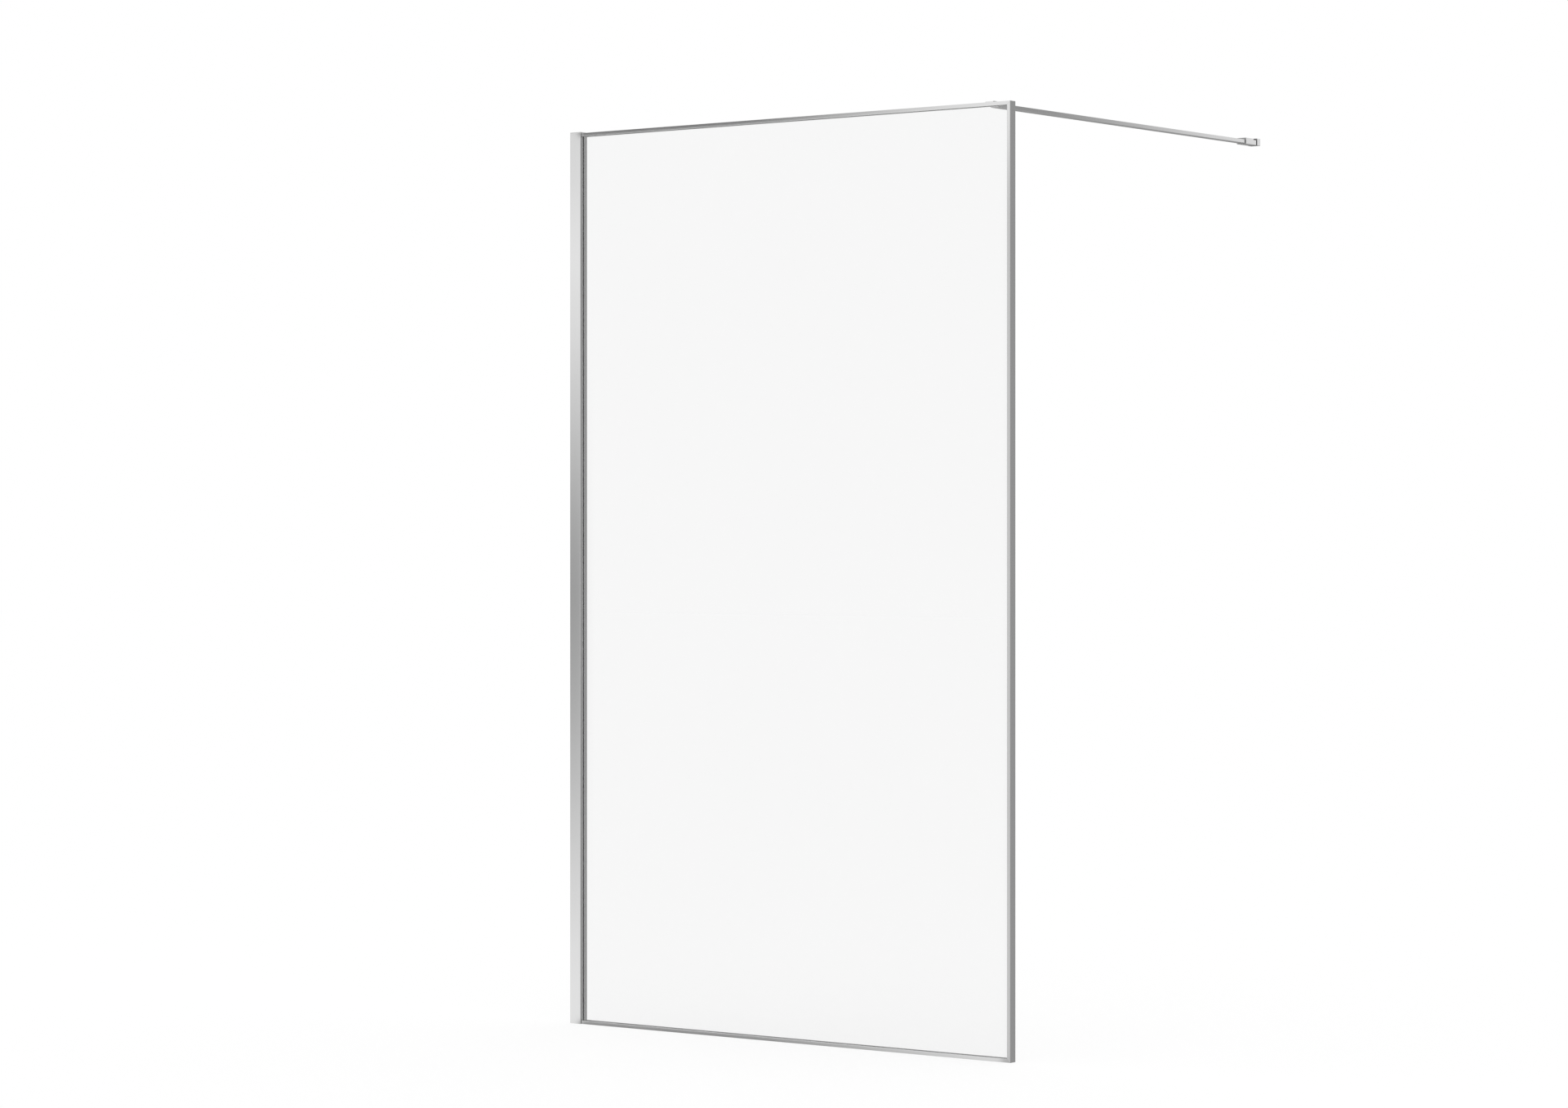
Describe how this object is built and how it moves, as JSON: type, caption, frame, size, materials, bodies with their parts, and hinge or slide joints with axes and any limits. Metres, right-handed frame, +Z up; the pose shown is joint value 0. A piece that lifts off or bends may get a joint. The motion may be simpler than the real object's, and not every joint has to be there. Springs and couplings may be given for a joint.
{
  "type": "walk-in shower screen",
  "caption": "Framed clear glass walk-in shower panel that slides in a wall channel, braced from its top rail by a flat bar with a swivelling wall flange.",
  "frame": {"origin": "on the wall face of the wall channel, at floor level, on the mid-depth of the panel frame", "axes": "+X from the wall to the free edge of the panel, +Y from the panel towards the shower and the braced wall, +Z up"},
  "size_m": [1.19, 1.0834, 2.0041],
  "materials": {
    "polished_aluminium": "polished and bright anodised",
    "polished_casting": "polished chrome plate",
    "plated_cap": "bright plated plastic",
    "clear_glass": "clear",
    "seal_grey": "matt",
    "screw_steel": "plain",
    "dark_steel": "black satin",
    "washer_nylon": "matt",
    "key_casting": "as cast"
  },
  "bodies": {
    "channel": {"wall_channel": "polished_aluminium", "channel_cap": "plated_cap"},
    "panel": {"top_rail": "polished_aluminium", "bottom_rail": "polished_aluminium", "free_stile": "polished_aluminium", "wall_stile": "polished_aluminium", "glass_pane": "clear_glass", "gasket_top": "seal_grey", "gasket_bottom": "seal_grey", "gasket_free": "seal_grey", "gasket_wall": "seal_grey", "corner_key_top": "key_casting", "corner_key_bottom": "key_casting", "stile_screws": "screw_steel", "clamp_nuts": "screw_steel", "clamp_screws": "screw_steel", "brace_saddle": "polished_casting", "saddle_nut_plate": "screw_steel", "saddle_screw": "screw_steel", "brace_bar": "polished_aluminium", "bar_grub_screw": "screw_steel"},
    "socket": {"bar_socket": "polished_casting", "socket_grub_screw": "screw_steel", "swivel_pin": "screw_steel"},
    "flange": {"swivel_arm": "dark_steel", "swivel_washer": "washer_nylon", "flange_cover": "polished_casting", "wall_base": "key_casting", "arm_screw": "screw_steel"}
  },
  "joints": [
    {"name": "panel_adjust", "type": "slide", "parent": "channel", "child": "panel", "axis": [1, 0, 0], "range_m": [-0.007, 0.007]},
    {"name": "brace_reach", "type": "slide", "parent": "panel", "child": "socket", "axis": [0, 1, 0], "range_m": [-0.005, 0.01]},
    {"name": "wall_swivel", "type": "hinge", "parent": "socket", "child": "flange", "pos_m": [1.1375, 1.047, 2.0012], "axis": [0, 0, 1], "range_deg": [-20, 20]}
  ]
}
